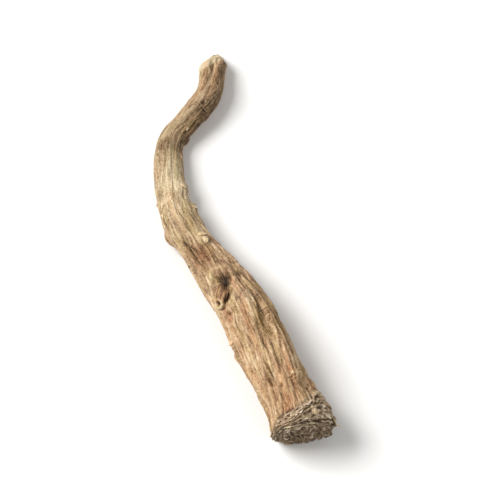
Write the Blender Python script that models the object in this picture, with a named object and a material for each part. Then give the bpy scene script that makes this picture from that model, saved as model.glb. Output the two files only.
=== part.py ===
"""A dried dandelion root as picked and cleaned: one piece that lies on its side.

The crown end, with what is left of the leaf bases, points to -Y and the cut thin end to +Y.
Sizes are in millimetres and turned to metres where a vertex is placed.
"""

import math
import random

import bmesh
import bpy
from mathutils import Vector, noise

MM = 0.001

# The root's middle line from the crown's end to the cut end: x, y, height over the floor, and radius.
ROOT_LINE = (
    (13.2, -46.5, 6.65, 6.9),
    (12.3, -44.2, 6.85, 7.2),
    (9.9, -38.2, 6.8, 6.3),
    (4.0, -25.5, 7.0, 6.1),
    (-0.6, -16.1, 7.2, 5.5),
    (-5.9, -8.0, 6.6, 4.6),
    (-10.6, -0.8, 5.6, 4.0),
    (-14.7, 6.4, 4.7, 3.9),
    (-16.7, 12.6, 3.7, 3.4),
    (-17.7, 23.3, 2.8, 3.1),
    (-16.9, 28.1, 2.9, 2.9),
    (-13.7, 31.9, 3.7, 2.7),
    (-8.7, 38.8, 4.2, 2.8),
    (-7.7, 47.5, 2.7, 3.0),
)

# How finely the skin is divided: round the root, and along it in plain bark and beside the scar.
SIDES = 66
BODY_STEP = 2.4
SCAR_STEP = 1.3
SCAR_ZONE = (33.5, 43.5)
CROWN_FACE_REACHES = (1.0, 0.84, 0.68, 0.52, 0.36, 0.2)
TIP_FACE_REACHES = (0.9, 0.6, 0.3)

# The two ends: the roundness of each rim, and how far each end face leans from square to the line.
CROWN_RIM = 1.0
TIP_RIM = 0.3
CROWN_LEAN_SIDE = -0.2
CROWN_LEAN_REACH = 7.0
TIP_LEAN_UP = -0.85
TIP_LEAN_SIDE = 0.42
TIP_LEAN_REACH = 4.5

# The wrinkles of the dried bark: how far apart, how long against that, and how high.
WRINKLE_TWIST = math.radians(1.0)
WRINKLE_PITCH = 1.35
WRINKLE_STRETCH = 7.0
WRINKLE_HEIGHT = 0.95

# Strands that run round the root in a slow spiral, side roots grown together with it, and the groove beside each:
# where it starts and ends, degrees from the top at its start, degrees per mm, height, depth and degrees between.
STRANDS = (
    (14.5, 50.0, 36.0, 1.45, 0.35, 0.8, -38.0),
    (8.0, 34.0, -60.0, 1.5, 0.4, 0.45, 26.0),
)
STRAND_WIDTH = 6.0
GROOVE_WIDTH = 2.0
STRAND_FADE = 9.0

# The crown's rings: where each free edge stands, how high, and how much they fan out on the right and close up left.
RING_EDGES = (1.0, 1.75, 2.55, 3.35, 4.2)
RING_DROP = 0.14
RING_HEIGHT = 0.75
RING_FAN = 0.6
RING_TURN = math.radians(12.0)
RING_WAVE = 0.9
CROWN_END = 5.0
CROWN_FADE = 8.0

# The crown's end face: a shallow hollow round the pith.
FACE_HOLLOW = 1.3
PITH_RADIUS = 2.0
PITH_RISE = 0.9

# Knots left by side roots: place along the line, angle in degrees from the top, length, width and height.
KNOTS = (
    (51.8, 26.0, 3.4, 1.8, 0.75),
    (50.2, 44.0, 3.6, 1.6, -0.5),
    (62.1, 78.0, 3.4, 2.4, 0.35),
    (79.5, -20.0, 3.4, 2.6, 0.6),
    (68.3, 55.0, 4.0, 3.4, 0.5),
    (27.1, -90.0, 2.4, 2.0, 0.4),
    (23.5, -94.0, 2.4, 2.0, 0.4),
    (12.0, 28.0, 2.2, 4.0, 0.45),
    (13.0, -36.0, 3.0, 1.6, -0.6),
    (40.0, 128.0, 4.4, 3.0, 1.1),
    (58.5, -122.0, 3.8, 2.6, 0.9),
    (29.0, 168.0, 4.0, 3.0, 0.5),
    (84.0, 120.0, 3.0, 2.2, 0.7),
)

# The scar of a snapped side root, an oval pit with a rim that lies aslant on the root's left, and the stub in it:
# places are millimetres along the line and degrees from the top.
SCAR_MIDDLE = (38.9, -30.0)
SCAR_SLANT = math.radians(43.0)
SCAR_SIZE = (8.4, 4.8)
SCAR_DEPTH = 1.5
SCAR_RIM = 0.45
STUB_FROM = (41.2, -8.0)
STUB_TO = (36.9, -50.0)
STUB_RADIUS = (1.3, 1.5)
STUB_HEIGHT = (-1.2, 0.3)
STUB_SIDES = 12
STUB_KNOBBLE = 0.45

# Leaf bases that stand up from the crown, row by row, and ring by ring on its end face.
SEED = 17
SIDE_ROWS = ((1.0, 6), (1.8, 7), (2.7, 7), (3.6, 6))
FACE_ROWS = ((0.84, 7), (0.6, 5), (0.4, 2))
BASE_THICKNESS = 0.66
BASE_SINK = 0.9
FLOOR_CLEARANCE = 0.8


def clear_scene():
    for old in list(bpy.data.objects):
        bpy.data.objects.remove(old)


def smooth(edge_a, edge_b, value):
    """Rises from 0 at edge_a to 1 at edge_b, level at both."""
    share = min(max((value - edge_a) / (edge_b - edge_a), 0.0), 1.0)
    return share * share * (3.0 - 2.0 * share)


def blend(start, end, share):
    return start + (end - start) * share


def chord_lengths():
    """Distance along the middle line at each of its points."""
    places = [0.0]
    for here, there in zip(ROOT_LINE, ROOT_LINE[1:]):
        places.append(places[-1] + (Vector(there[:3]) - Vector(here[:3])).length)
    return places


PLACES = chord_lengths()
LENGTH = PLACES[-1]


def knot_slope(index):
    """How x, y, height and radius change along the line at one of its points."""
    before = max(index - 1, 0)
    after = min(index + 1, len(ROOT_LINE) - 1)
    run = PLACES[after] - PLACES[before]
    return Vector([(b - a) / run for a, b in zip(ROOT_LINE[before], ROOT_LINE[after])])


def line_at(place):
    """Middle, radius, and the directions along, up and right at a place on the line, which goes on past its ends."""
    beyond = place - min(max(place, 0.0), LENGTH)
    place -= beyond
    index = max(i for i in range(len(PLACES) - 1) if PLACES[i] <= place)
    span = PLACES[index + 1] - PLACES[index]
    t = (place - PLACES[index]) / span
    start, end = Vector(ROOT_LINE[index]), Vector(ROOT_LINE[index + 1])
    leave, arrive = knot_slope(index) * span, knot_slope(index + 1) * span
    here = (
        start * (2 * t**3 - 3 * t**2 + 1)
        + leave * (t**3 - 2 * t**2 + t)
        + end * (3 * t**2 - 2 * t**3)
        + arrive * (t**3 - t**2)
    )
    slope = (
        start * (6 * t**2 - 6 * t)
        + leave * (3 * t**2 - 4 * t + 1)
        + end * (6 * t - 6 * t**2)
        + arrive * (3 * t**2 - 2 * t)
    )
    along = Vector(slope[:3]).normalized()
    right = along.cross(Vector((0.0, 0.0, 1.0))).normalized()
    up = right.cross(along)
    return Vector(here[:3]) + along * beyond, here[3], along, up, right


def girth(place, angle, radius):
    """The root's radius in one direction: the section is out of round and turns along the root."""
    oval = 0.04 * math.cos(2.0 * angle - 0.05 * place + 0.6)
    lobes = 0.03 * math.cos(3.0 * (angle - WRINKLE_TWIST * place) + 1.0)
    uneven = 0.1 * noise.noise(Vector((math.cos(angle), math.sin(angle), place / 11.0)))
    return radius * (1.0 + oval + lobes + uneven)


def round_gap(angle, degrees, radius):
    """Millimetres round the bark from a direction given in degrees."""
    gap = angle - math.radians(degrees)
    return math.atan2(math.sin(gap), math.cos(gap)) * radius


def bump(place, angle, radius, spot):
    """Height of one knot or pit at a place on the bark: flat on top, steep at its edge."""
    middle, degrees, length, width, height = spot
    along = (place - middle) / (0.5 * length)
    round_it = round_gap(angle, degrees, radius) / (0.5 * width)
    distance = along * along + round_it * round_it
    return height * math.exp(-distance * distance)


def strands(place, angle, radius):
    """The side roots grown into the main one, each with the groove beside it."""
    total = 0.0
    for start, end, degrees, swing, height, depth, beside in STRANDS:
        shown = smooth(start, start + STRAND_FADE, place) * (1.0 - smooth(end - STRAND_FADE, end, place))
        middle = degrees + swing * (place - start)
        total += shown * bump(place, angle, radius, (place, middle, 1.0, STRAND_WIDTH, height))
        total -= shown * bump(place, angle, radius, (place, middle + beside, 1.0, GROOVE_WIDTH, depth))
    return total


def scar(place, angle, radius):
    """The oval pit round the stub, with its raised rim."""
    along = place - SCAR_MIDDLE[0]
    round_it = round_gap(angle, SCAR_MIDDLE[1], radius)
    lengthwise = along * math.cos(SCAR_SLANT) + round_it * math.sin(SCAR_SLANT)
    crosswise = round_it * math.cos(SCAR_SLANT) - along * math.sin(SCAR_SLANT)
    reach = math.hypot(lengthwise / (0.5 * SCAR_SIZE[0]), crosswise / (0.5 * SCAR_SIZE[1]))
    return SCAR_RIM * math.exp(-(((reach - 1.35) / 0.3) ** 2)) - SCAR_DEPTH * math.exp(-(reach**4))


def wrinkles(place, angle, radius):
    """Lengthwise ridges with narrower furrows between them, as bark shrinks when it dries."""
    turned = angle - WRINKLE_TWIST * place
    across = radius / WRINKLE_PITCH
    grain = place / (WRINKLE_PITCH * WRINKLE_STRETCH)
    value = noise.noise(Vector((math.cos(turned) * across, math.sin(turned) * across, grain)))
    thin = min(radius / 5.0, 1.0)
    return thin * WRINKLE_HEIGHT * (smooth(-0.34, 0.14, value) - 0.62)


def bark_height(place, angle, radius):
    """Everything that stands out from the bark or is sunk in it, between the two ends."""
    calm = smooth(0.0, CROWN_END, place)
    height = calm * wrinkles(place, angle, radius) + strands(place, angle, radius) + scar(place, angle, radius)
    for spot in KNOTS:
        height += bump(place, angle, radius, spot)
    return height


def crown_height(edge, angle):
    """Height of a ring's free edge, torn and worn unevenly."""
    face_x, face_y = math.cos(angle), math.sin(angle)
    worn = noise.noise(Vector((face_x * 1.8, face_y * 1.8, edge * 3.0)))
    torn = noise.noise(Vector((face_x * 6.0, face_y * 6.0, edge * 5.0)))
    return RING_HEIGHT * (0.6 + 0.7 * worn + 0.7 * torn)


def crown_shift(place, angle):
    """How far a ring is moved along the root: the rings fan out to the right, and are wavy."""
    fade = 1.0 - smooth(CROWN_END, CROWN_END + CROWN_FADE, place)
    wavy = noise.noise(Vector((math.cos(angle) * 1.7, math.sin(angle) * 1.7, place * 0.25)))
    fan = RING_FAN * min(max(place, 0.0), CROWN_END) * math.sin(angle - RING_TURN)
    return fade * (fan + RING_WAVE * wavy * smooth(0.0, 3.0, place))


def end_slant(place, reach, angle):
    """How far a point near an end is moved along the root, because that end isn't square."""
    right = reach * math.sin(angle)
    up = reach * math.cos(angle)
    near_crown = 1.0 - smooth(0.0, CROWN_LEAN_REACH, place)
    near_tip = smooth(LENGTH - TIP_LEAN_REACH, LENGTH, place)
    return near_crown * CROWN_LEAN_SIDE * right + near_tip * (TIP_LEAN_UP * up + TIP_LEAN_SIDE * right)


def on_root(place, angle, height, inside=0.0):
    """A point over the bark; inside draws it in towards the middle line, as a rim and an end face do."""
    place += crown_shift(place, angle)
    middle, radius, along, up, right = line_at(place)
    outward = up * math.cos(angle) + right * math.sin(angle)
    reach = girth(place, angle, radius) * (radius - inside) / radius
    return middle + outward * (reach + height) + along * end_slant(place, reach, angle)


def on_crown_face(share, angle, height):
    """A point over the crown's end face, at a share of the way from its middle to its rim."""
    middle, radius, along, up, right = line_at(0.0)
    reach = girth(0.0, angle, radius) * share
    hollow = FACE_HOLLOW * (1.0 - smooth(0.45, 0.95, share))
    pith = PITH_RISE * (1.0 - smooth(0.5 * PITH_RADIUS, 1.3 * PITH_RADIUS, reach))
    crumb = 0.45 * noise.noise(Vector((math.cos(angle) * reach, math.sin(angle) * reach, 5.0)))
    outward = up * math.cos(angle) + right * math.sin(angle)
    return middle + outward * reach + along * (end_slant(0.0, reach, angle) + hollow - pith - crumb - height)


def skin_rows():
    """The skin's rings from the crown's middle to the tip's, each as a function of the angle."""
    crown_radius, tip_radius = line_at(0.0)[1], line_at(LENGTH)[1]
    face_edge = 1.0 - CROWN_RIM / crown_radius
    rows = [lambda angle: on_crown_face(0.0, 0.0, 0.0)]
    for share in reversed(CROWN_FACE_REACHES):
        rows.append(lambda angle, share=share: on_crown_face(share * face_edge, angle, 0.0))
    rows.append(lambda angle: on_root(0.3 * CROWN_RIM, angle, 0.0, 0.3 * CROWN_RIM))
    for edge in RING_EDGES:
        rows.append(lambda angle, edge=edge: on_root(edge - RING_DROP, angle, -0.3 * RING_HEIGHT))
        rows.append(lambda angle, edge=edge: on_root(edge, angle, crown_height(edge, angle)))
    place = CROWN_END
    while place < LENGTH - TIP_RIM - 0.5 * BODY_STEP:
        rows.append(lambda angle, place=place: on_root(place, angle, bark_height(place, angle, line_at(place)[1])))
        place += SCAR_STEP if SCAR_ZONE[0] < place < SCAR_ZONE[1] else BODY_STEP
    place = LENGTH - TIP_RIM
    rows.append(lambda angle, place=place: on_root(place, angle, bark_height(place, angle, tip_radius)))
    for share in TIP_FACE_REACHES:
        rows.append(lambda angle, share=share: on_root(LENGTH, angle, 0.0, tip_radius * (1.0 - share)))
    rows.append(lambda angle: on_root(LENGTH, 0.0, 0.0, tip_radius))
    return rows


def make_skin():
    """The root's skin: a closed tube of rings, bent and wrinkled point by point."""
    rows = skin_rows()
    bm = bmesh.new()
    bmesh.ops.create_cone(bm, cap_ends=True, cap_tris=True, segments=SIDES, radius1=1.0, radius2=1.0, depth=1.0)
    lengthwise = [e for e in bm.edges if abs(e.verts[0].co.z - e.verts[1].co.z) > 0.5]
    bmesh.ops.subdivide_edges(bm, edges=lengthwise, cuts=len(rows) - 4, use_grid_fill=True)
    for vert in bm.verts:
        level = round((vert.co.z + 0.5) * (len(rows) - 3)) + 1
        if vert.co.xy.length < 0.5:
            level = 0 if level == 1 else len(rows) - 1
        angle = math.atan2(vert.co.x, vert.co.y)
        vert.co = rows[level](angle) * MM
    bmesh.ops.recalc_face_normals(bm, faces=bm.faces)
    return bm


def make_plate():
    """A unit plate, divided across its width so that it can be curved."""
    bm = bmesh.new()
    bmesh.ops.create_cube(bm, size=1.0)
    crosswise = [e for e in bm.edges if abs(e.verts[0].co.x - e.verts[1].co.x) > 0.5]
    bmesh.ops.subdivide_edges(bm, edges=crosswise, cuts=2, use_grid_fill=True)
    return bm


def make_side_base(draw, place, angle):
    """One leaf base on the crown's side: a curved plate, its foot sunk and its edge free towards the end."""
    width, length = draw.uniform(2.8, 5.4), draw.uniform(1.2, 1.9)
    lift, curl = draw.uniform(0.5, 1.1), draw.uniform(-0.4, 0.5)
    radius = line_at(place)[1]
    bm = make_plate()
    for vert in bm.verts:
        x, y, z = vert.co
        free = y + 0.5
        across = angle + x * width * (1.0 - 0.35 * free) / radius
        height = blend(-BASE_SINK, lift, free) + z * BASE_THICKNESS - curl * (2.0 * x) ** 2 * free
        vert.co = on_root(place + 0.8 - free * length, across, height) * MM
    bmesh.ops.recalc_face_normals(bm, faces=bm.faces)
    return bm


def make_face_base(draw, share, angle):
    """One leaf base on the crown's end face: a curved plate that stands round the pith."""
    width, length = draw.uniform(2.4, 4.6), draw.uniform(1.0, 1.9)
    lean = draw.uniform(-0.6, 0.9)
    radius = line_at(0.0)[1]
    bm = make_plate()
    for vert in bm.verts:
        x, y, z = vert.co
        free = y + 0.5
        across = angle + x * width * (1.0 - 0.35 * free) / (radius * share)
        reach = share + (z * BASE_THICKNESS + lean * free) / radius
        vert.co = on_crown_face(reach, across, blend(-BASE_SINK, length, free)) * MM
    bmesh.ops.recalc_face_normals(bm, faces=bm.faces)
    return bm


def make_stub():
    """The stub of the snapped side root: it lies down along the scar, with a hollow broken end."""
    bm = bmesh.new()
    bmesh.ops.create_cone(bm, cap_ends=True, cap_tris=True, segments=STUB_SIDES, radius1=1.0, radius2=1.0, depth=1.0)
    lengthwise = [e for e in bm.edges if abs(e.verts[0].co.z - e.verts[1].co.z) > 0.5]
    bmesh.ops.subdivide_edges(bm, edges=lengthwise, cuts=4, use_grid_fill=True)
    for vert in bm.verts:
        x, y, z = vert.co
        along = z + 0.5
        thick = blend(STUB_RADIUS[0], STUB_RADIUS[1], along) + STUB_KNOBBLE * noise.noise(Vector((x, y, 2.0 * along)))
        torn = STUB_KNOBBLE * noise.noise(Vector((x, y, 9.0))) * along
        if along > 0.9 and vert.co.xy.length < 0.5:
            torn = 0.9
        place = blend(STUB_FROM[0], STUB_TO[0], along) + torn - x * thick * math.sin(SCAR_SLANT)
        angle = math.radians(blend(STUB_FROM[1], STUB_TO[1], along))
        angle += x * thick * math.cos(SCAR_SLANT) / line_at(place)[1]
        height = blend(STUB_HEIGHT[0], STUB_HEIGHT[1], smooth(0.0, 0.8, along)) + y * thick
        vert.co = on_root(place, angle, height) * MM
    bmesh.ops.recalc_face_normals(bm, faces=bm.faces)
    return bm


def make_outgrowths():
    """Every leaf base, but for those pressed flat under the root, and the stub."""
    draw = random.Random(SEED)
    bodies = [make_stub()]
    for row, (place, count) in enumerate(SIDE_ROWS):
        for index in range(count):
            angle = 2.0 * math.pi * (index + 0.5 * row + draw.uniform(-0.25, 0.25)) / count
            bodies.append(make_side_base(draw, place + draw.uniform(-0.3, 0.3), angle))
    for row, (share, count) in enumerate(FACE_ROWS):
        for index in range(count):
            angle = 2.0 * math.pi * (index + 0.5 * row + draw.uniform(-0.25, 0.25)) / count
            bodies.append(make_face_base(draw, share + draw.uniform(-0.05, 0.05), angle))
    clear = FLOOR_CLEARANCE * MM
    return [bm for bm in bodies if min(vert.co.z for vert in bm.verts) > clear]


def collect(bodies):
    """The outgrowths as objects in a collection of their own."""
    group = bpy.data.collections.new("outgrowths")
    bpy.context.scene.collection.children.link(group)
    for index, bm in enumerate(bodies):
        mesh = bpy.data.meshes.new(f"outgrowth_{index}")
        bm.to_mesh(mesh)
        bm.free()
        group.objects.link(bpy.data.objects.new(f"outgrowth_{index}", mesh))
    return group


def join(root, group):
    """Makes the outgrowths one body with the root."""
    union = root.modifiers.new("outgrowths", "BOOLEAN")
    union.operation = "UNION"
    union.operand_type = "COLLECTION"
    union.solver = "EXACT"
    union.collection = group
    evaluated = root.evaluated_get(bpy.context.evaluated_depsgraph_get())
    joined = bpy.data.meshes.new_from_object(evaluated)
    root.modifiers.clear()
    root.data = joined
    for outgrowth in list(group.objects):
        bpy.data.objects.remove(outgrowth)
    bpy.data.collections.remove(group)


def rest_on_floor(root):
    """Flattens what would sink below the floor, so that the root rests on small flat spots."""
    for vert in root.data.vertices:
        vert.co.z = max(vert.co.z, 0.0)


def bark_material():
    bark = bpy.data.materials.new("dried_root_bark")
    bark.use_nodes = True
    shader = bark.node_tree.nodes["Principled BSDF"]
    shader.inputs["Base Color"].default_value = (0.42, 0.28, 0.155, 1.0)
    shader.inputs["Roughness"].default_value = 0.85
    shader.inputs["Metallic"].default_value = 0.0
    return bark


def make_root():
    mesh = bpy.data.meshes.new("dandelion_root")
    bm = make_skin()
    bm.to_mesh(mesh)
    bm.free()
    root = bpy.data.objects.new("dandelion_root", mesh)
    bpy.context.scene.collection.objects.link(root)
    join(root, collect(make_outgrowths()))
    rest_on_floor(root)
    root.data.shade_smooth()
    root.data.set_sharp_from_angle(angle=math.radians(50.0))
    root.data.materials.clear()
    root.data.materials.append(bark_material())


clear_scene()
make_root()
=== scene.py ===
"""A dried dandelion root that lies on a pale table: wrinkled bark, torn leaf bases round the crown, a cut thin end."""

import math
import random

import bmesh
import bpy
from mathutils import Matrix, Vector, noise


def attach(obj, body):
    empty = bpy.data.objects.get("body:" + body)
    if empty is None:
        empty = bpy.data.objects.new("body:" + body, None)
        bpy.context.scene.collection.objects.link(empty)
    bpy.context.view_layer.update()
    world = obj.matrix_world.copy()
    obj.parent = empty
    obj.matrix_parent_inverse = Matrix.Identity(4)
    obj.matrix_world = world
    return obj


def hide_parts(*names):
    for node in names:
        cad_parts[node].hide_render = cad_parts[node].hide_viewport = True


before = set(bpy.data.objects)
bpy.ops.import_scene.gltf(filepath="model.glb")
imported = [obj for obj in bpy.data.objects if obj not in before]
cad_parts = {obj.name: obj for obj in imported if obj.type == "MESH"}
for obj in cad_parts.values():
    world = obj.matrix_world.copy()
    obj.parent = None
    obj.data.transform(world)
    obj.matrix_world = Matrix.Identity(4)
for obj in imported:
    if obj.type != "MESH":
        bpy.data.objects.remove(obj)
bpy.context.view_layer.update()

# Skin: the bark of one taproot, with the crown's end face and the cut thin end. It is one closed surface.
# The root shrank as it dried, so its bark stands in lengthwise ridges. Sizes are millimetres on the root
# laid straight, and a point is bent to its place last: along the root, round it, and out from its bark.
MM = 0.001
# The middle line, from the crown to the cut: how far right, back and up it is, and the root's radius there.
ROOT_LINE = (
    (13.2, -46.5, 6.65, 6.9),
    (12.3, -44.2, 6.85, 7.2),
    (9.9, -38.2, 6.8, 6.3),
    (4.0, -25.5, 7.0, 6.1),
    (-0.6, -16.1, 7.2, 5.5),
    (-5.9, -8.0, 6.6, 4.6),
    (-10.6, -0.8, 5.6, 4.0),
    (-14.7, 6.4, 4.7, 3.9),
    (-16.7, 12.6, 3.7, 3.4),
    (-17.7, 23.3, 2.8, 3.1),
    (-16.9, 28.1, 2.9, 2.9),
    (-13.7, 31.9, 3.7, 2.7),
    (-8.7, 38.8, 4.2, 2.8),
    (-7.7, 47.5, 2.7, 3.0),
)
SIDES = 216
ROW_STEP = 0.27
FACE_ROWS = 24
CUT_ROWS = 12
OVAL = 0.04
LOBES = 0.03
UNEVEN = 0.1
UNEVEN_LENGTH = 11.0
CROWN_RIM = 1.0
RIM_ROUND = 0.3 * CROWN_RIM
TIP_RIM = 0.3
TIP_ROUND = 0.35
CROWN_LEAN_SIDE = -0.2
CROWN_LEAN_REACH = 7.0
TIP_LEAN_UP = -0.85
TIP_LEAN_SIDE = 0.42
TIP_LEAN_REACH = 4.5
# The cut's torn edge: where it falls off on the right and how steeply, then the place, width and height of its crest.
TIP_SHOULDER = (0.9, 0.45)
TIP_CREST = (0.3, 3.2, 1.6)
WRINKLE_TWIST = math.radians(1.0)
SWAY = 0.09
SWAY_LENGTH = 6.0
WRINKLE_PITCH = 1.35
WRINKLE_STRETCH = 7.0
WRINKLE_HEIGHT = 0.82
WRINKLE_TONE = 0.2
FOLD_PITCH = 0.62
FOLD_STRETCH = 10.0
FOLD_HEIGHT = 0.29
FOLD_TONE = 0.28
FIBRE_PITCH = 0.33
FIBRE_STRETCH = 11.0
FIBRE_HEIGHT = 0.12
FIBRE_TONE = 0.26
CREASE_PITCH = 0.9
CREASE_STRETCH = 11.0
CREASE_DEPTH = 0.2
CREASE_WIDTH = 0.09
CREASE_TONE = 0.2
SCALE_SIZE = (0.8, 4.0)
SCALE_HEIGHT = 0.1
SCALE_CREASE = 0.08
SCALE_SEAM = 0.2
SCALE_TONE = 0.14
SEAM_TONE = 0.12
SMOOTH_FROM = (24.0, 80.0)
SMOOTH_SHARE = 0.5
FULL_RELIEF_RADIUS = 5.0
# Side roots grown into the main one: start, end, direction and its swing, width and height, then the depth of the
# groove beside it and how far round that lies.
STRANDS = (
    (14.5, 50.0, 36.0, 1.45, 6.0, 0.35, 0.45, -38.0),
    (8.0, 34.0, -60.0, 1.5, 6.0, 0.4, 0.45, 26.0),
    (84.0, 118.0, -46.0, 5.6, 2.6, 0.5, 0.35, -40.0),
)
GROOVE_SHARE = 0.33
STRAND_FADE = 9.0
RING_EDGES = (1.0, 1.75, 2.55, 3.35, 4.2)
RING_DROP = 0.14
RING_HEIGHT = 0.75
RING_FAN = 0.6
RING_TURN = math.radians(12.0)
RING_WAVE = 0.9
RING_VEINS = 0.16
RING_CRUMPLE = 0.3
CROWN_END = 5.0
CROWN_FADE = 8.0
FACE_HOLLOW = 1.3
FACE_LUMPS = 0.45
FACE_RING_PITCH = 0.8
FACE_RING_HEIGHT = 0.3
FACE_RING_WAVE = 0.9
FACE_CRUMB = 0.35
PITH_RADIUS = 2.0
PITH_RISE = 0.9
# Knots, and dents where the height is below zero: place, direction in degrees, length, width and height.
KNOTS = (
    (51.8, 26.0, 3.0, 1.3, 0.3),
    (50.2, 44.0, 3.6, 1.6, -0.15),
    (62.1, 78.0, 3.4, 2.4, 0.35),
    (79.5, -20.0, 3.4, 2.6, 0.6),
    (68.3, 55.0, 4.0, 3.4, 0.5),
    (27.1, -90.0, 2.4, 2.0, 0.4),
    (23.5, -94.0, 2.4, 2.0, 0.4),
    (12.0, 28.0, 2.2, 4.0, 0.45),
    (13.0, -36.0, 3.0, 1.6, -0.6),
    (40.0, 128.0, 4.4, 3.0, 1.1),
    (58.5, -122.0, 3.8, 2.6, 0.9),
    (29.0, 168.0, 4.0, 3.0, 0.5),
    (84.0, 120.0, 3.0, 2.2, 0.7),
    (103.0, 3.0, 4.0, 1.2, -0.7),
)
# The pit of the snapped side root. The hollow above its stub: how far up and right, its radius and its depth.
SCAR_MIDDLE = (38.9, -30.0)
SCAR_SLANT = math.radians(43.0)
SCAR_SIZE = (8.4, 5.3)
SCAR_DEPTH = 1.1
SCAR_RIM = 0.4
SCAR_HOLLOW = (2.0, 0.3, 1.5, 0.7)
SCAR_UNEVEN = 0.25
SCAR_RIM_AT = 1.28
SCAR_RIM_WIDTH = 0.24
SCAR_CRACK = 0.14
SCAR_CRACK_AT = 1.85
SCAR_CRACK_WIDTH = 0.08
SCAR_CALM = (0.7, 2.2)
SCAR_CLEAR = 3.0
FAR_OFF = 9.0
ALL_ROUND = (-180.0, 180.0)
ROOTLET_SCARS = 26
ROOTLET_PLACES = (8.0, 96.0)
ROOTLET_SIZE = (0.35, 0.8)
ROOTLET_HEIGHT = 0.35
# Lenticels, which are slits across the bark: place, direction, and how far each reaches along the root and round it.
LENTICELS = ((11.5, 14.0, 0.55, 1.0), (12.8, 36.0, 0.5, 1.1), (7.4, 60.0, 0.5, 1.2), (29.5, 30.0, 0.4, 0.8))
LOOSE_LENTICELS = 30
LENTICEL_PLACES = (7.0, 96.0)
LENTICEL_SIZE = (0.2, 0.4)
LENTICEL_STRETCH = (1.6, 3.0)
LENTICEL_LIPS = 0.28
LENTICEL_SLIT = 0.5
MARK_REACH = 2.5
MARK_SEED = 5


def smooth(edge_a, edge_b, value):
    """Rises from 0 at edge_a to 1 at edge_b, level at both."""
    share = min(max((value - edge_a) / (edge_b - edge_a), 0.0), 1.0)
    return share * share * (3.0 - 2.0 * share)


def blend(start, end, share):
    return start + (end - start) * share


def bell(offset, width):
    """A soft bump, 1 in the middle and almost 0 at twice its width."""
    return math.exp(-((offset / width) ** 2))


def noise_round(angle, reach, depth):
    """Noise that has no seam round the root: reach says how fast it changes round it, depth picks the layer."""
    return noise.noise(Vector((math.cos(angle) * reach, math.sin(angle) * reach, depth)))


PLACES = [0.0]
for here, there in zip(ROOT_LINE, ROOT_LINE[1:]):
    PLACES.append(PLACES[-1] + (Vector(there[:3]) - Vector(here[:3])).length)
LENGTH = PLACES[-1]


def knot_slope(index):
    """How x, y, height and radius change along the line at one of its points."""
    before = max(index - 1, 0)
    after = min(index + 1, len(ROOT_LINE) - 1)
    run = PLACES[after] - PLACES[before]
    return Vector([(b - a) / run for a, b in zip(ROOT_LINE[before], ROOT_LINE[after])])


def line_at(place):
    """Middle, radius and the directions along, up and right at a place on the line, which runs on past its ends."""
    beyond = place - min(max(place, 0.0), LENGTH)
    place -= beyond
    index = max(i for i in range(len(PLACES) - 1) if PLACES[i] <= place)
    span = PLACES[index + 1] - PLACES[index]
    t = (place - PLACES[index]) / span
    start, end = Vector(ROOT_LINE[index]), Vector(ROOT_LINE[index + 1])
    leave, arrive = knot_slope(index) * span, knot_slope(index + 1) * span
    here = (
        start * (2 * t**3 - 3 * t**2 + 1)
        + leave * (t**3 - 2 * t**2 + t)
        + end * (3 * t**2 - 2 * t**3)
        + arrive * (t**3 - t**2)
    )
    slope = (
        start * (6 * t**2 - 6 * t)
        + leave * (3 * t**2 - 4 * t + 1)
        + end * (6 * t - 6 * t**2)
        + arrive * (3 * t**2 - 2 * t)
    )
    along = Vector(slope[:3]).normalized()
    right = along.cross(Vector((0.0, 0.0, 1.0))).normalized()
    up = right.cross(along)
    return Vector(here[:3]) + along * beyond, here[3], along, up, right


def girth(place, angle, radius):
    """The root's radius in one direction: the section is out of round and turns along the root."""
    oval = OVAL * math.cos(2.0 * angle - 0.05 * place + 0.6)
    lobes = LOBES * math.cos(3.0 * (angle - WRINKLE_TWIST * place) + 1.0)
    uneven = UNEVEN * noise_round(angle, 1.0, place / UNEVEN_LENGTH)
    return radius * (1.0 + oval + lobes + uneven)


def round_gap(angle, degrees, radius):
    """Millimetres round the bark from a direction given in degrees."""
    gap = angle - math.radians(degrees)
    return math.atan2(math.sin(gap), math.cos(gap)) * radius


def bump(place, angle, radius, spot):
    """Height of one knot or pit at a place on the bark: flat on top, steep at its edge."""
    middle, degrees, length, width, height = spot
    along = (place - middle) / (0.5 * length)
    if abs(along) > 2.0:
        return 0.0
    round_it = round_gap(angle, degrees, radius) / (0.5 * width)
    distance = along * along + round_it * round_it
    return height * math.exp(-distance * distance)


def strands(place, angle, radius):
    """The side roots grown into the main one, each with the groove beside it."""
    total = 0.0
    for start, end, degrees, swing, width, height, depth, beside in STRANDS:
        shown = smooth(start, start + STRAND_FADE, place) * (1.0 - smooth(end - STRAND_FADE, end, place))
        middle = degrees + swing * (place - start)
        total += shown * bump(place, angle, radius, (place, middle, 1.0, width, height))
        total -= shown * bump(place, angle, radius, (place, middle + beside, 1.0, GROOVE_SHARE * width, depth))
    return total


def scar_reach(place, angle, radius):
    """How far a place is from the scar's middle, 1 at the pit's edge, and how far up and to the right of it."""
    along = place - SCAR_MIDDLE[0]
    if abs(along) > SCAR_SIZE[0]:
        return FAR_OFF, FAR_OFF, FAR_OFF
    round_it = round_gap(angle, SCAR_MIDDLE[1], radius)
    lengthwise = along * math.cos(SCAR_SLANT) + round_it * math.sin(SCAR_SLANT)
    crosswise = round_it * math.cos(SCAR_SLANT) - along * math.sin(SCAR_SLANT)
    uneven = 1.0 + SCAR_UNEVEN * noise.noise(Vector((along * 0.5, round_it * 0.5, 21.0)))
    reach = math.hypot(lengthwise / (0.5 * SCAR_SIZE[0]), crosswise / (0.5 * SCAR_SIZE[1]))
    return reach * uneven, lengthwise, crosswise


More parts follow.
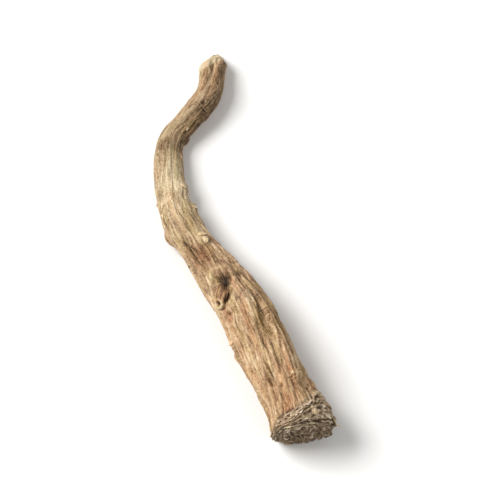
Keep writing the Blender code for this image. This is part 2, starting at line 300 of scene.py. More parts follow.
def scar_hollow(lengthwise, crosswise):
    """How far a place is from the deepest spot of the pit, 1 at the edge of the hollow there."""
    return math.hypot(lengthwise - SCAR_HOLLOW[0], crosswise - SCAR_HOLLOW[1]) / SCAR_HOLLOW[2]


def scar(place, angle, radius):
    """The oval pit round the stub, deepest above it, with its raised rim and a thin crack outside it."""
    reach, lengthwise, crosswise = scar_reach(place, angle, radius)
    rim = SCAR_RIM * bell(reach - SCAR_RIM_AT, SCAR_RIM_WIDTH)
    pit = SCAR_DEPTH * math.exp(-(reach**4))
    hollow = SCAR_HOLLOW[3] * math.exp(-(scar_hollow(lengthwise, crosswise) ** 4))
    crack = SCAR_CRACK * bell(reach - SCAR_CRACK_AT, SCAR_CRACK_WIDTH) * smooth(0.0, 1.5, crosswise)
    return rim - pit - (hollow + crack)


def grain_point(place, angle, radius, pitch, stretch):
    """A point of the noises that run with the grain: they have no seam round the root."""
    turned = angle - WRINKLE_TWIST * place
    across = radius / pitch
    return Vector((math.cos(turned) * across, math.sin(turned) * across, place / (pitch * stretch)))


def wrinkles(place, angle, radius):
    """Height and tone (0 in a furrow, 1 on a ridge) of wrinkles, folds, fibres, creases and bark scales."""
    sway = SWAY * noise_round(angle, 1.3, place / SWAY_LENGTH + 9.0)
    swung = angle + sway
    broad = smooth(-0.34, 0.14, noise.noise(grain_point(place, angle, radius, WRINKLE_PITCH, WRINKLE_STRETCH)))
    fold = smooth(-0.3, 0.3, noise.noise(grain_point(place, swung, radius, FOLD_PITCH, FOLD_STRETCH)))
    fibre = smooth(-0.3, 0.3, noise.noise(grain_point(place, swung, radius, FIBRE_PITCH, FIBRE_STRETCH)))
    crease_point = grain_point(place, angle - sway, radius, CREASE_PITCH, CREASE_STRETCH)
    off_crease = noise.noise(crease_point) / CREASE_WIDTH
    crease = smooth(-0.2, 0.2, noise.noise(crease_point * 1.7 + Vector((4.0, 0.0, 0.0))))
    crease *= math.exp(-off_crease * off_crease)
    scale_point = grain_point(place, angle + 2.0 * sway, radius, SCALE_SIZE[0], SCALE_SIZE[1] / SCALE_SIZE[0])
    distances, centres = noise.voronoi(scale_point)
    seam = 1.0 - smooth(0.0, SCALE_SEAM, distances[1] - distances[0])
    raised = 0.5 + 0.5 * noise.cell(centres[0] * 17.0)
    height = (
        WRINKLE_HEIGHT * (broad - 0.62)
        + FOLD_HEIGHT * (fold - 0.5)
        + FIBRE_HEIGHT * (fibre - 0.5)
        + SCALE_HEIGHT * (raised - 0.5) * (1.0 - seam)
        - SCALE_CREASE * seam
        - CREASE_DEPTH * crease
    )
    # The tone pales the ridges and darkens the furrows, creases and seams between scales: partly rubbed wear, partly
    # painted shade in the hollows.
    tone = WRINKLE_TONE * broad + FOLD_TONE * fold + FIBRE_TONE * fibre + SCALE_TONE * raised
    tone += SEAM_TONE * (1.0 - seam)
    tone -= CREASE_TONE * crease
    calm = 1.0 - SMOOTH_SHARE * smooth(*SMOOTH_FROM, place)
    return min(radius / FULL_RELIEF_RADIUS, 1.0) * calm * height, 0.5 + (tone - 0.5) * calm


draw = random.Random(MARK_SEED)
rootlet_scars = []
for _ in range(ROOTLET_SCARS):
    spot = (draw.uniform(*ROOTLET_PLACES), draw.uniform(*ALL_ROUND), draw.uniform(*ROOTLET_SIZE))
    if scar_reach(spot[0], math.radians(spot[1]), line_at(spot[0])[1])[0] > SCAR_CLEAR:
        rootlet_scars.append(spot)
lenticels = list(LENTICELS)
for _ in range(LOOSE_LENTICELS):
    size = draw.uniform(*LENTICEL_SIZE)
    place, degrees = draw.uniform(*LENTICEL_PLACES), draw.uniform(*ALL_ROUND)
    lenticels.append((place, degrees, size, size * draw.uniform(*LENTICEL_STRETCH)))


def marks(place, angle, radius):
    """Height, paleness and darkness of rootlet scars, which are small rings, and of lenticels, which are slits."""
    height, pale, dark = 0.0, 0.0, 0.0
    for middle, degrees, size in rootlet_scars:
        if abs(place - middle) > MARK_REACH * size:
            continue
        reach = math.hypot(place - middle, round_gap(angle, degrees, radius)) / size
        if reach < MARK_REACH:
            ring = bell(reach - 1.0, 0.4)
            eye = bell(reach, 0.6)
            height += ROOTLET_HEIGHT * size * (ring - 1.3 * eye)
            pale += 0.5 * ring
            dark += 0.6 * eye
    for middle, degrees, long, wide in lenticels:
        if abs(place - middle) > MARK_REACH * long:
            continue
        along, across = (place - middle) / long, round_gap(angle, degrees, radius) / wide
        reach = math.hypot(along, across)
        if reach < MARK_REACH:
            lips = math.exp(-(reach**4))
            slit = math.exp(-((along / 0.32) ** 2) - across**4)
            height += LENTICEL_LIPS * lips - LENTICEL_SLIT * slit
            pale += 0.9 * lips
            dark += 1.0 * slit
    return height, min(pale, 1.0), min(dark, 1.0)


def bark_height(place, angle, radius):
    """Height and tone of the bark between the two ends."""
    height, tone = wrinkles(place, angle, radius)
    calm = smooth(*SCAR_CALM, scar_reach(place, angle, radius)[0])
    height *= smooth(0.0, CROWN_END, place) * calm
    tone = 0.5 + (tone - 0.5) * (0.4 + 0.6 * calm)
    height += strands(place, angle, radius) + scar(place, angle, radius) + marks(place, angle, radius)[0]
    for spot in KNOTS:
        height += bump(place, angle, radius, spot)
    return height, tone


def ring_crest(edge, angle):
    """Height of a ring's free edge, torn and worn unevenly."""
    worn = noise_round(angle, 1.8, edge * 3.0)
    torn = noise_round(angle, 6.0, edge * 5.0)
    return RING_HEIGHT * (0.6 + 0.7 * worn + 0.7 * torn)


def ring_height(place, angle, radius):
    """Height and tone of the crown's side: each ring rises to its free edge and drops to the one above it."""
    # The tone is painted light: pale on each ring's free edge as a highlight, dark at the foot of the step below it as
    # shade.
    steps = [(RIM_ROUND, 0.0, 0.5)]
    for edge in RING_EDGES:
        steps.append((edge - RING_DROP, -0.3 * RING_HEIGHT, 0.0))
        steps.append((edge, ring_crest(edge, angle), 1.0))
    steps.append((CROWN_END, *bark_height(CROWN_END, angle, radius)))
    low = max(i for i in range(len(steps) - 1) if steps[i][0] <= place + 1e-6)
    share = (place - steps[low][0]) / (steps[low + 1][0] - steps[low][0])
    veins = noise_round(angle, 14.0, place / 3.0)
    crumpled = noise_round(angle, 7.0, place * 1.4)
    height = blend(steps[low][1], steps[low + 1][1], share) + RING_VEINS * veins + RING_CRUMPLE * crumpled
    return height, blend(steps[low][2], steps[low + 1][2], share) + 0.3 * veins


def crown_shift(place, angle):
    """How far a ring is moved along the root: the rings fan out to the right, and are wavy."""
    fade = 1.0 - smooth(CROWN_END, CROWN_END + CROWN_FADE, place)
    wavy = noise_round(angle, 1.7, place * 0.25)
    fan = RING_FAN * min(max(place, 0.0), CROWN_END) * math.sin(angle - RING_TURN)
    return fade * (fan + RING_WAVE * wavy * smooth(0.0, 3.0, place))


def end_slant(place, reach, angle):
    """How far a point near an end is moved along the root, because neither end is square."""
    right = reach * math.sin(angle)
    up = reach * math.cos(angle)
    near_crown = 1.0 - smooth(0.0, CROWN_LEAN_REACH, place)
    near_tip = smooth(LENGTH - TIP_LEAN_REACH, LENGTH, place)
    torn = TIP_CREST[2] * max(1.0 - ((right - TIP_CREST[0]) / TIP_CREST[1]) ** 2, 0.0)
    torn -= TIP_SHOULDER[1] * max(right - TIP_SHOULDER[0], 0.0) ** 2
    return near_crown * CROWN_LEAN_SIDE * right + near_tip * (TIP_LEAN_UP * up + TIP_LEAN_SIDE * right + torn)


def on_root(place, angle, height, inside=0.0):
    """A point over the bark; inside draws it in towards the middle line, as a rim and an end face do."""
    place += crown_shift(place, angle)
    middle, radius, along, up, right = line_at(place)
    outward = up * math.cos(angle) + right * math.sin(angle)
    reach = girth(place, angle, radius) * (radius - inside) / radius
    return middle + outward * (reach + height) + along * end_slant(place, reach, angle)


def on_crown_face(share, angle, height):
    """A point over the crown's end face, at a share of the way from its middle to its rim."""
    middle, radius, along, up, right = line_at(0.0)
    reach = girth(0.0, angle, radius) * share
    hollow = FACE_HOLLOW * (1.0 - smooth(0.45, 0.95, share))
    pith = PITH_RISE * (1.0 - smooth(0.5 * PITH_RADIUS, 1.3 * PITH_RADIUS, reach))
    lumps = FACE_LUMPS * noise_round(angle, reach, 5.0)
    outward = up * math.cos(angle) + right * math.sin(angle)
    return middle + outward * reach + along * (end_slant(0.0, reach, angle) + hollow - pith - lumps - height)


def face_relief(reach, angle):
    """Height and tone of the rings that leaf bases left on the crown's end face."""
    wave = FACE_RING_WAVE * noise_round(angle, reach * 0.5, 2.0)
    ring = 0.5 + 0.5 * math.sin(2.0 * math.pi * (reach / FACE_RING_PITCH + wave))
    crumb = FACE_CRUMB * noise_round(angle, reach * 2.6, 8.0)
    return FACE_RING_HEIGHT * ring + crumb, 0.5 * ring + crumb + 0.2


def skin_rows():
    """Each ring of the skin, from the crown's middle to the cut's: its kind, and its place or share of the face."""
    rows = [("face", 0.0)]
    face_edge = 1.0 - CROWN_RIM / line_at(0.0)[1]
    rows += [("face", face_edge * (step + 1) / FACE_ROWS) for step in range(FACE_ROWS)]
    knots = [RIM_ROUND]
    for edge in RING_EDGES:
        knots += [edge - RING_DROP, edge]
    knots.append(CROWN_END)
    for low, high in zip(knots, knots[1:]):
        steps = max(math.ceil((high - low) / ROW_STEP), 1)
        rows += [("ring", low + (high - low) * step / steps) for step in range(steps)]
    steps = math.ceil((LENGTH - TIP_RIM - CROWN_END) / ROW_STEP)
    rows += [("bark", blend(CROWN_END, LENGTH - TIP_RIM, step / steps)) for step in range(steps + 1)]
    rows += [("cut", 1.0 - (step + 1) / CUT_ROWS) for step in range(CUT_ROWS)]
    return rows


def skin_spot(row, angle):
    """A point of the skin with its tone, its share of crown and its place on the straightened root."""
    kind, where = row
    if kind == "face":
        reach = where * line_at(0.0)[1]
        height, tone = face_relief(reach, angle)
        return on_crown_face(where, angle, height), tone, 1.0, (reach, -0.5)
    if kind == "cut":
        tip_radius = line_at(LENGTH)[1]
        reach = tip_radius * where
        crumb = 0.12 * noise_round(angle, reach * 1.5, 3.0)
        spot = on_root(LENGTH, angle, 0.0, tip_radius - reach + TIP_ROUND * where)
        return spot + line_at(LENGTH)[2] * crumb, 0.5, 0.0, (reach, LENGTH + 0.5)
    radius = line_at(where)[1]
    if kind == "ring":
        height, tone = ring_height(where, angle, radius)
        inside = RIM_ROUND * (1.0 - smooth(RIM_ROUND, 1.2, where))
        crown = 1.0 - 0.5 * smooth(1.0, CROWN_END, where)
        return on_root(where, angle, height, inside), tone, crown, (radius, where)
    height, tone = bark_height(where, angle, radius)
    rounded = TIP_ROUND * smooth(LENGTH - 1.1, LENGTH, where) ** 2
    crown = 0.5 * (1.0 - smooth(CROWN_END - 1.0, CROWN_END + 2.0, where))
    return on_root(where, angle, height, rounded), tone, crown, (radius, where)


# Soft patches on the bark, each with its place, direction, length and width, then how pale, dark and red it is. Most
# are real stains, but some are painted shadow and shade: dark beside the pale flake at 50.9 and 50.6, in the hollow of
# the scar above its stub at 40.2, and along the right side of the thin end at 92.0. Those at 13.0 and 103.2 darken
# dents.
STAINS_AND_SHADOWS = (
    (51.9, 25.0, 3.2, 1.1, 0.4, 0.0, 0.0),
    (50.9, 33.0, 3.0, 1.0, 0.0, 0.4, 0.0),
    (50.6, 40.0, 4.0, 1.2, 0.0, 0.3, 0.0),
    (48.0, -4.0, 5.0, 5.0, 0.0, 0.1, 0.25),
    (40.2, -15.0, 3.0, 2.8, 0.0, 0.25, 0.0),
    (49.0, -34.0, 8.0, 6.0, 0.0, 0.1, 0.3),
    (13.0, -36.0, 3.0, 1.6, 0.0, 0.5, 0.1),
    (17.5, -44.0, 9.0, 3.0, 0.7, 0.0, 0.0),
    (25.5, -34.0, 9.0, 2.0, 0.5, 0.0, 0.0),
    (11.0, -60.0, 9.0, 3.6, 0.4, 0.0, 0.0),
    (5.0, -18.0, 1.6, 1.2, 0.0, 0.45, 1.3),
    (6.4, -4.0, 5.0, 6.0, 0.0, 0.0, 0.3),
    (13.0, 4.0, 7.0, 4.0, 0.0, 0.05, 0.2),
    (30.0, 52.0, 16.0, 5.0, 0.0, 0.1, 0.1),
    (5.2, 30.0, 1.4, 1.8, 0.8, 0.0, 0.0),
    (7.5, 66.0, 1.6, 1.6, 0.7, 0.0, 0.0),
    (79.5, -20.0, 3.6, 2.6, 0.0, 0.25, 0.1),
    (91.3, 30.0, 2.6, 1.8, 0.0, 0.2, 0.1),
    (92.0, 66.0, 30.0, 4.6, 0.0, 0.5, 0.0),
    (68.0, 0.0, 22.0, 7.0, 0.3, 0.0, 0.0),
    (64.0, -17.0, 20.0, 1.9, 0.6, 0.0, 0.0),
    (72.0, 14.0, 16.0, 1.2, 0.4, 0.0, 0.0),
    (40.0, 128.0, 5.0, 3.4, 0.0, 0.4, 0.3),
    (58.5, -122.0, 4.4, 3.0, 0.0, 0.4, 0.3),
    (84.0, 120.0, 3.6, 2.6, 0.2, 0.3, 0.2),
    (103.2, 3.0, 3.6, 1.0, 0.0, 0.6, 0.0),
    (40.3, -33.0, 1.2, 1.0, 0.8, 0.0, 0.0),
)
# Where the bark is torn back at the cut the pale flesh shows: the margin's least width, and what the left side and
# its frayed edge add to it.
MARGIN_WIDTH = (0.7, 3.0)
MARGIN_FRAY = (1.6, 2.0)
MARGIN_PALE = 2.4


def torn_margin(place, angle):
    """How much a place lies on the pale margin at the cut, from 0 to 1."""
    side = math.sin(angle)
    fray = MARGIN_FRAY[0] * noise_round(angle, 3.0, 13.0) + MARGIN_FRAY[1] * noise_round(angle, 11.0, 0.3 * place)
    edge = LENGTH - MARGIN_WIDTH[0] - (MARGIN_WIDTH[1] + fray) * smooth(0.4, -0.95, side)
    return smooth(edge - 1.0, edge + 0.6, place) * smooth(0.95, 0.4, side)


def stains_and_painted_light_at(place, angle, radius):
    """Paleness, darkness and redness of the bark at a place: real stains and marks, with painted shadow, shade and
    highlight.
    """
    total = Vector((0.0, 0.0, 0.0))
    for middle, degrees, length, width, pale, dark, red in STAINS_AND_SHADOWS:
        total += bump(place, angle, radius, (middle, degrees, length, width, 1.0)) * Vector((pale, dark, red))
    _, mark_pale, mark_dark = marks(place, angle, radius)
    total += Vector((mark_pale, mark_dark, 0.0))
    reach, lengthwise, crosswise = scar_reach(place, angle, radius)
    # Painted light round the scar: its rim is painted pale, most on the left, the lit side, as a highlight; the crack
    # on the right and the pit, most on its right side and in the hollow above the stub, are painted dark as shade.
    rim = bell(reach - 1.3, 0.22) * (0.2 + 0.6 * smooth(1.0, -1.0, crosswise))
    crack = bell(reach - SCAR_CRACK_AT, 0.1) * smooth(0.0, 1.5, crosswise)
    shaded = math.exp(-(reach**6)) * (0.15 + 0.5 * smooth(-0.3, 0.9, crosswise))
    shaded += 0.35 * math.exp(-(scar_hollow(lengthwise, crosswise) ** 3))
    total += Vector((rim, shaded + 0.4 * crack, 0.0))
    total.x += MARGIN_PALE * torn_margin(place, angle)
    return total


def tube(sides, rings):
    """A closed upright tube of unit size, cut into rings."""
    bm = bmesh.new()
    bmesh.ops.create_cone(bm, cap_ends=True, cap_tris=True, segments=sides, radius1=1.0, radius2=1.0, depth=1.0)
    uprights = [edge for edge in bm.edges if abs(edge.verts[0].co.z - edge.verts[1].co.z) > 0.5]
    bmesh.ops.subdivide_edges(bm, edges=uprights, cuts=rings - 2, use_grid_fill=True)
    return bm


def new_piece(name, bm):
    """The object of a finished closed bmesh, smooth and facing outwards, with its place in its mesh."""
    bmesh.ops.recalc_face_normals(bm, faces=bm.faces)
    for face in bm.faces:
        face.smooth = True
    mesh = bpy.data.meshes.new(name)
    bm.to_mesh(mesh)
    bm.free()
    piece = bpy.data.objects.new(name, mesh)
    bpy.context.scene.collection.objects.link(piece)
    return piece


rows = skin_rows()
last_ring = len(rows) - 3
bm = tube(SIDES, last_ring + 1)
# The stain attribute holds real stains and marks, and painted shadow, shade and highlight as well.
grain_layer = bm.verts.layers.float_vector.new("grain")
stain_and_painted_light_layer = bm.verts.layers.float_vector.new("stain_and_painted_light")
tone_layer = bm.verts.layers.float.new("tone")
crown_layer = bm.verts.layers.float.new("crown")
cut_verts = set()
for vert in bm.verts:
    level = round((vert.co.z + 0.5) * last_ring) + 1
    if vert.co.xy.length < 0.5:
        level = 0 if level == 1 else len(rows) - 1
    angle = math.atan2(vert.co.x, vert.co.y)
    spot, tone, crown, (reach, place) = skin_spot(rows[level], angle)
    # The root rests on the table on small flats.
    spot.z = max(spot.z, 0.0)
    vert.co = spot * MM
    turned = angle - WRINKLE_TWIST * place
    vert[grain_layer] = Vector((math.cos(turned) * reach, math.sin(turned) * reach, place))
    vert[tone_layer] = tone
    vert[crown_layer] = crown
    if rows[level][0] == "bark":
        vert[stain_and_painted_light_layer] = stains_and_painted_light_at(place, angle, reach)
    if rows[level][0] == "cut":
        cut_verts.add(vert)
for face in bm.faces:
    face.material_index = 1 if all(vert in cut_verts for vert in face.verts) else 0
root_skin = new_piece("root_skin", bm)


def paint(code):
    """Linear colour of an sRGB hex code."""
    parts = [int(code[i : i + 2], 16) / 255.0 for i in (1, 3, 5)]
    return (*(part / 12.92 if part <= 0.04045 else ((part + 0.055) / 1.055) ** 2.4 for part in parts), 1.0)


def add_node(tree, kind, wires=None, stops=None, **settings):
    """A node with its settings, its sockets set or wired, and the stops of its colour ramp."""
    node = tree.nodes.new(kind)
    for name, value in settings.items():
        setattr(node, name, value)
    for socket, value in (wires or {}).items():
        if isinstance(value, bpy.types.NodeSocket):
            tree.links.new(value, node.inputs[socket])
        else:
            node.inputs[socket].default_value = value
    for index, (position, code) in enumerate(stops or ()):
        ramp = node.color_ramp.elements
        stop = ramp[index] if index < 2 else ramp.new(position)
        stop.position = position
        stop.color = paint(code)
    return node


def new_material(name, roughness, specular=0.5):
    """A material with its Principled shader wired to the output."""
    material = bpy.data.materials.new(name)
    material.use_nodes = True
    shader = material.node_tree.nodes["Principled BSDF"]
    shader.inputs["Roughness"].default_value = roughness
    shader.inputs["Specular IOR Level"].default_value = specular
    return material, material.node_tree, shader


# Dried root bark: matt cork-like skin, pale on the ridges and brown in the furrows, partly rubbed wear and partly
# painted shade in the hollows, darker at the crown. Its stain attribute holds real stains and also painted shadow,
# shade and highlight.
# Streaks, fibres, short dark strokes and pale wisps run along the root, and the thin end is browner. Widths and
# sizes are millimetres. Real fibres are about 0.1 mm thick, too fine to show, so they are drawn three times as coarse.
SWAY_SIZE = 3.0
SWAY_REACH = (0.7, 0.7, 0.7)
STREAK_WIDTH = 0.8
FIBRE_WIDTH = 0.3
STROKE_WIDTH = 0.5
STROKE_TONE = 0.11
BLOTCH_SIZE = 6.0
HUE_WIDTH = 2.6
SPECK_SIZE = 0.4
LONG_GRAIN = (1.0, 1.0, 0.11)
SHORT_GRAIN = (1.0, 1.0, 0.13)
dried_bark, tree, shader = new_material("dried_root_bark", roughness=0.8, specular=0.3)
grain = add_node(tree, "ShaderNodeAttribute", attribute_name="grain").outputs["Vector"]
tone = add_node(tree, "ShaderNodeAttribute", attribute_name="tone").outputs["Fac"]
crown = add_node(tree, "ShaderNodeAttribute", attribute_name="crown").outputs["Fac"]
stain_and_painted_light = add_node(tree, "ShaderNodeAttribute", attribute_name="stain_and_painted_light").outputs["Vector"]
pale, dark, red = add_node(tree, "ShaderNodeSeparateXYZ", {"Vector": stain_and_painted_light}).outputs
sway = add_node(tree, "ShaderNodeTexNoise", {"Vector": grain, "Scale": 1 / SWAY_SIZE, "Detail": 2.0}).outputs["Color"]
swayed = add_node(
    tree, "ShaderNodeVectorMath", {0: sway, 1: SWAY_REACH, 2: grain}, operation="MULTIPLY_ADD"
).outputs[0]
long_grain = add_node(tree, "ShaderNodeMapping", {"Vector": swayed, "Scale": LONG_GRAIN}).outputs[0]
short_grain = add_node(tree, "ShaderNodeMapping", {"Vector": swayed, "Scale": SHORT_GRAIN}).outputs[0]
streaks, fibres, strokes, blotches, hues, specks = (
    add_node(
        tree, "ShaderNodeTexNoise", {"Vector": along, "Scale": 1 / size, "Detail": detail, "Roughness": rough}
    ).outputs["Fac"]
    for along, size, detail, rough in (
        (long_grain, STREAK_WIDTH, 3.0, 0.65),
        (long_grain, FIBRE_WIDTH, 2.0, 0.6),
        (short_grain, STROKE_WIDTH, 1.0, 0.5),
        (grain, BLOTCH_SIZE, 3.0, 0.6),
        (short_grain, HUE_WIDTH, 3.0, 0.7),
        (grain, SPECK_SIZE, 2.0, 0.6),
    )
)
dark_strokes, pale_wisps = (
    add_node(
        tree,
        "ShaderNodeMapRange",
        {"Value": strokes, "From Min": first, "From Max": full, "To Min": 0.0, "To Max": STROKE_TONE},
    ).outputs[0]
    for first, full in ((0.42, 0.3), (0.58, 0.7))
)
weighted = add_node(tree, "ShaderNodeMath", {0: tone, 1: 0.4, 2: -0.44}, operation="MULTIPLY_ADD").outputs[0]
for part, share in ((streaks, 0.5), (fibres, 0.5), (specks, 0.68), (dark_strokes, -1.0), (pale_wisps, 1.0)):
    summed = {0: part, 1: share, 2: weighted}
    weighted = add_node(tree, "ShaderNodeMath", summed, operation="MULTIPLY_ADD").outputs[0]
lit = weighted
for part, share in ((pale, 0.2), (dark, -0.4)):
    lit = add_node(tree, "ShaderNodeMath", {0: part, 1: share, 2: lit}, operation="MULTIPLY_ADD").outputs[0]
bark_colour = add_node(
    tree,
    "ShaderNodeValToRGB",
    {"Fac": lit},
    stops=(
        (0.18, "#33291f"),
        (0.34, "#6b5640"),
        (0.48, "#9a8064"),
        (0.6, "#bba082"),
        (0.72, "#d1b898"),
        (0.83, "#dfcaaa"),
        (0.95, "#efe1c8"),
    ),
).outputs[0]
warmth = add_node(
    tree, "ShaderNodeValToRGB", {"Fac": blotches}, stops=((0.35, "#e2d8cb"), (0.5, "#f8f2e9"), (0.65, "#ffffff"))
).outputs[0]
hue = add_node(
    tree, "ShaderNodeValToRGB", {"Fac": hues}, stops=((0.36, "#f3efd2"), (0.5, "#fffdfb"), (0.64, "#ffeadb"))
).outputs[0]
lengthwise = add_node(tree, "ShaderNodeSeparateXYZ", {"Vector": grain}).outputs["Z"]
lengthwise = add_node(tree, "ShaderNodeMath", {0: lengthwise, 1: 1 / LENGTH}, operation="MULTIPLY").outputs[0]
ageing = add_node(
    tree,
    "ShaderNodeValToRGB",
    {"Fac": lengthwise},
    stops=((0.2, "#f2ede5"), (0.42, "#f0eeeb"), (0.66, "#f1fdff"), (0.84, "#dadad5"), (1.0, "#e7e8e4")),
).outputs[0]
red_share = add_node(tree, "ShaderNodeMath", {0: red, 1: specks}, operation="MULTIPLY").outputs[0]
red_share = add_node(tree, "ShaderNodeMath", {0: red_share, 1: 1.6}, operation="MULTIPLY", use_clamp=True).outputs[0]
for share, tint in ((0.7, warmth), (0.9, hue), (1.0, ageing), (red_share, paint("#d99d72"))):
    bark_colour = add_node(
        tree, "ShaderNodeMix", {0: share, 6: bark_colour, 7: tint}, data_type="RGBA", blend_type="MULTIPLY"
    ).outputs[2]
crown_colour = add_node(
    tree,
    "ShaderNodeValToRGB",
    {"Fac": weighted},
    stops=((0.2, "#241a10"), (0.4, "#463524"), (0.56, "#6f5a45"), (0.74, "#968369"), (0.95, "#c2ad90")),
).outputs[0]
skin_colour = add_node(
    tree, "ShaderNodeMix", {0: crown, 6: bark_colour, 7: crown_colour}, data_type="RGBA", blend_type="MIX"
).outputs[2]
relief = fibres
for part, share in ((specks, 0.6), (dark_strokes, -2.0)):
    relief = add_node(tree, "ShaderNodeMath", {0: part, 1: share, 2: relief}, operation="MULTIPLY_ADD").outputs[0]
bumped = add_node(tree, "ShaderNodeBump", {"Strength": 0.8, "Distance": 0.25 * MM, "Height": relief}).outputs[0]
tree.links.new(skin_colour, shader.inputs["Base Color"])
tree.links.new(bumped, shader.inputs["Normal"])

# Cut root: the pale, dry, matt flesh with faint rings round a yellow core, as a knife left it.
CUT_RADIUS = 3.6
cut_flesh, tree, shader = new_material("cut_dried_root", roughness=0.85, specular=0.25)
grain = add_node(tree, "ShaderNodeAttribute", attribute_name="grain").outputs["Vector"]
flat = add_node(tree, "ShaderNodeMapping", {"Vector": grain, "Scale": (1.0, 1.0, 0.0)}).outputs[0]
reach = add_node(tree, "ShaderNodeVectorMath", {0: flat}, operation="LENGTH").outputs["Value"]
wobble = add_node(tree, "ShaderNodeTexNoise", {"Vector": flat, "Scale": 1.2, "Detail": 3.0}).outputs["Fac"]
reach = add_node(tree, "ShaderNodeMath", {0: wobble, 1: 0.9, 2: reach}, operation="MULTIPLY_ADD").outputs[0]
reach = add_node(tree, "ShaderNodeMath", {0: reach, 1: 1 / CUT_RADIUS}, operation="MULTIPLY").outputs[0]
flesh_colour = add_node(
    tree,
    "ShaderNodeValToRGB",
    {"Fac": reach},
    stops=(
        (0.2, "#c9a86a"),
        (0.34, "#a8875a"),
        (0.42, "#ddcaa4"),
        (0.56, "#cbb48c"),
        (0.66, "#e6d8bb"),
        (0.8, "#d2bd97"),
        (0.92, "#eadcc1"),
        (1.0, "#a58b68"),
    ),
).outputs[0]
tree.links.new(flesh_colour, shader.inputs["Base Color"])
root_skin.data.materials.append(dried_bark)
root_skin.data.materials.append(cut_flesh)
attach(root_skin, "root")
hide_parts("dandelion_root")

# Leaf bases: what is left of the leaves, thin torn collars of dry leaf stalk that overlap like shingles round
# the crown and stand in rings on its end face. They grew on the root, so their feet are sunk in its skin.
BASE_SEED = 23
BASE_ROWS = 8
BASE_ROW_START = 0.45
BASE_ROW_STEP = 0.68
BASE_ROW_SCATTER = 0.22
BASES_PER_ROW = 10
BASE_SCATTER = 0.45
BASE_LIFT = (0.05, 0.55)
BASE_WIDTH = (2.8, 7.5)
BASE_LENGTH = (0.9, 1.6)
BASE_RAGGED = (0.4, 0.9)
BASE_CRINKLE = (0.5, 1.1)
FACE_BASE_RINGS = ((0.92, 9), (0.8, 8), (0.67, 7), (0.53, 6), (0.39, 4))
FACE_BASE_SCATTER = 0.03
FACE_BASE_LEAN = (-0.8, 0.1)
FACE_BASE_WIDTH = (3.5, 7.5)
FACE_BASE_LENGTH = (0.55, 0.8)
FACE_BASE_GROWTH = 0.2
FACE_BASE_RAGGED = (0.25, 0.6)
FACE_BASE_CRINKLE = (0.6, 1.2)
BASE_THICKNESS = 0.26
BASE_SINK = 0.5
BASE_CLEAR = 0.15 * MM
COLLAR_SEEDS = (0.0, 99.0)
SAME_POINT = 0.0003 * MM


def leaf_base(place_on, width, length, ragged, crinkle, worn, seed):
    """One torn collar: a thin plate, bent by place_on(across, free, height), its free edge ragged and crinkled."""
    plate = bmesh.new()
    bmesh.ops.create_grid(plate, x_segments=max(round(2.6 * width), 6), y_segments=4, size=1.0)
    bmesh.ops.solidify(plate, geom=plate.faces[:], thickness=0.1)
    grain_layer = plate.verts.layers.float_vector.new("grain")
    tone_layer = plate.verts.layers.float.new("tone")
    crown_layer = plate.verts.layers.float.new("crown")
    middle = sum(vert.co.z for vert in plate.verts) / len(plate.verts)
    for vert in plate.verts:
        x, y = vert.co.x, vert.co.y
        side = 0.5 if vert.co.z > middle else -0.5
        free = 0.5 * (y + 1.0)
        torn = 1.0 + ragged * noise.noise(Vector((x * width * 0.35, seed, 0.5)))
        torn += 0.3 * ragged * noise.noise(Vector((x * width * 0.9, seed, 7.5)))
        torn *= 1.0 - 0.6 * abs(x) ** 4
        crumple = noise.noise(Vector((x * width * 0.4, 0.8 * free, seed)))
        crumple += 0.3 * noise.noise(Vector((x * width * 1.0, 1.5 * free, seed + 30.0)))
        wave = 0.5 * crinkle * noise.noise(Vector((x * width * 0.3, seed, 50.0)))
        across = 0.5 * x * width * (1.0 - 0.15 * free)
        height = crinkle * crumple * (0.3 + 0.7 * free) + side * BASE_THICKNESS * (1.2 - 0.6 * free)
        height -= 0.5 * x**4
        vert.co = place_on(across, free * length * torn + wave, height) * MM
        vert[grain_layer] = Vector((across, seed, free * length))
        # The tone rises from the foot to the free edge: painted shade at the foot and a painted highlight on the edge.
        vert[tone_layer] = free
        vert[crown_layer] = worn
    return plate


def side_base(place, angle, lift, width, length, ragged, crinkle, seed):
    """A collar on the crown's side: its foot sunk, its free edge lifted towards the crown's end."""
    radius = line_at(place)[1]
    calm = 0.35 + 0.65 * smooth(0.3, 2.2, place)

    def place_on(across, run, height):
        rise = blend(-BASE_SINK, calm * lift, min(max(run / length, 0.0), 1.0) ** 0.8)
        return on_root(max(place + 0.4 - run, -0.1), angle + across / radius, rise + calm * height)

    worn = 1.0 - 0.7 * smooth(0.6, CROWN_END, place)
    return leaf_base(place_on, width, length, ragged, crinkle, worn, seed)


def face_base(share, angle, lean, width, length, ragged, crinkle, seed):
    """A collar on the crown's end face: it stands round the pith and leans out or in."""
    radius = line_at(0.0)[1]

    def place_on(across, run, height):
        reach = min(share + (lean * run / length + height) / radius, 0.97)
        return on_crown_face(reach, angle + across / (radius * share), run - BASE_SINK)

    return leaf_base(place_on, width, length, ragged, crinkle, 1.0, seed)


def joined(plates, lowest):
    """One bmesh of those plates that lie wholly above a height over the table."""
    whole = bmesh.new()
    for plate in plates:
        if min(vert.co.z for vert in plate.verts) > lowest:
            plate_mesh = bpy.data.meshes.new("plate")
            plate.to_mesh(plate_mesh)
            whole.from_mesh(plate_mesh)
            bpy.data.meshes.remove(plate_mesh)
        plate.free()
    return whole


